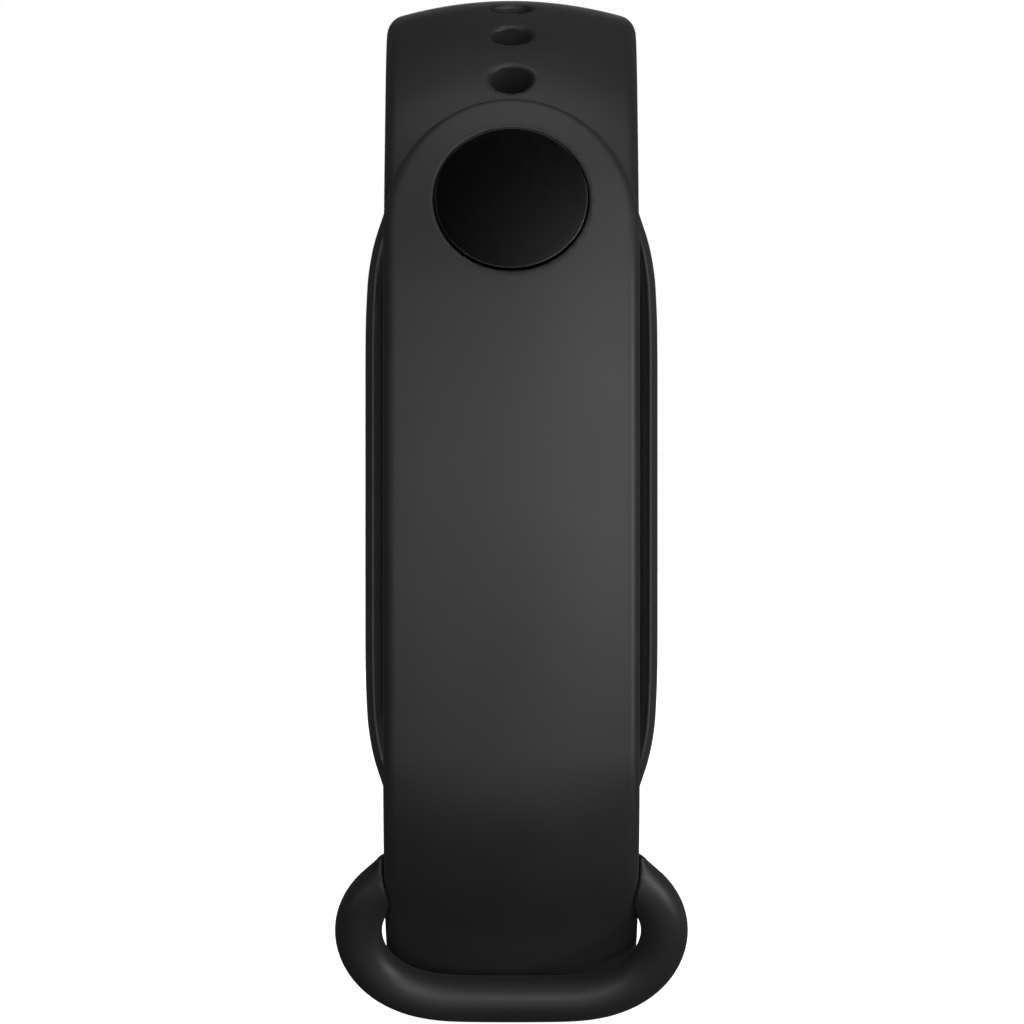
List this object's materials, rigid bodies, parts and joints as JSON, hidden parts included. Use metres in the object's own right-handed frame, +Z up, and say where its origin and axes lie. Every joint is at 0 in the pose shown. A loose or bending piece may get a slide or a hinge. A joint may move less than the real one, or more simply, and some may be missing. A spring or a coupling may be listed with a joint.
{
  "type": "fitness tracker band",
  "caption": "Closed wrist band of soft elastomer with a stud clasp, a keeper loop and a removable pill-shaped tracker capsule held in a cradle ring.",
  "frame": {"origin": "middle of the sensor window's skin face on the back of the capsule", "axes": "+X across the strap, +Z up along the capsule, +Y from the wrist out through the display; the clasp is on the -Y side"},
  "size_m": [0.0238, 0.0577, 0.0706],
  "materials": {
    "band_elastomer": "matte fine-grained black elastomer",
    "stud_gloss": "polished black cap",
    "stud_steel": "satin steel pin",
    "shell_plastic": "matte moulded black",
    "cover_glass": "polished black-printed cover glass",
    "display": "dark glossy panel",
    "sheet_steel": "thin stamped steel",
    "circuit_board": "solder-mask green",
    "chip_black": "moulded black",
    "ceramic_pale": "pale ceramic",
    "flex_amber": "amber polyimide",
    "battery_foil": "satin foil",
    "seal_rubber": "dark soft foam and rubber",
    "window_gloss": "smoked gloss window",
    "contact_gold": "gold-plated contact",
    "tungsten": "sintered grey metal"
  },
  "bodies": {
    "band": {"cradle_ring": "band_elastomer", "strap_top_curve": "band_elastomer", "hole_strap_plate": "band_elastomer", "keeper_loop": "band_elastomer", "stud_strap_curve": "band_elastomer"},
    "tab": {"stud_strap_tab": "band_elastomer", "stud_cap": "stud_gloss", "stud_pin": "stud_steel"},
    "capsule": {"middle_frame": "shell_plastic", "front_glass": "cover_glass", "display_panel": "display", "display_backplate": "sheet_steel", "mainboard": "circuit_board", "processor": "chip_black", "memory_chip": "chip_black", "power_chip": "chip_black", "motion_sensor": "chip_black", "radio_shield": "sheet_steel", "chip_antenna": "ceramic_pale", "crystal": "sheet_steel", "display_flex": "flex_amber", "battery": "battery_foil", "battery_protection_board": "circuit_board", "battery_pad": "seal_rubber", "motor_can": "sheet_steel", "motor_cover": "sheet_steel", "housing_seal": "seal_rubber", "rear_housing": "shell_plastic", "sensor_window": "window_gloss", "charging_contact_left": "contact_gold", "charging_contact_right": "contact_gold", "sensor_board": "circuit_board", "sensor_led_left": "ceramic_pale", "sensor_led_right": "ceramic_pale", "photodiode": "chip_black"},
    "rotor": {"motor_rotor": "tungsten"}
  },
  "joints": [
    {"name": "tab_peel", "type": "hinge", "parent": "band", "child": "tab", "pos_m": [0, -0.04435, -0.01419], "axis": [1, 0, 0], "range_deg": [0, 70], "stiffness_Nm_per_rad": 0.008, "deforming": ["stud_pin"]},
    {"name": "capsule_eject", "type": "slide", "parent": "band", "child": "capsule", "axis": [0, -1, 0], "range_m": [0, 0.016]},
    {"name": "motor_spin", "type": "hinge", "parent": "capsule", "child": "rotor", "pos_m": [0, 0.00475, -0.0152], "axis": [0, 1, 0], "continuous": true}
  ]
}
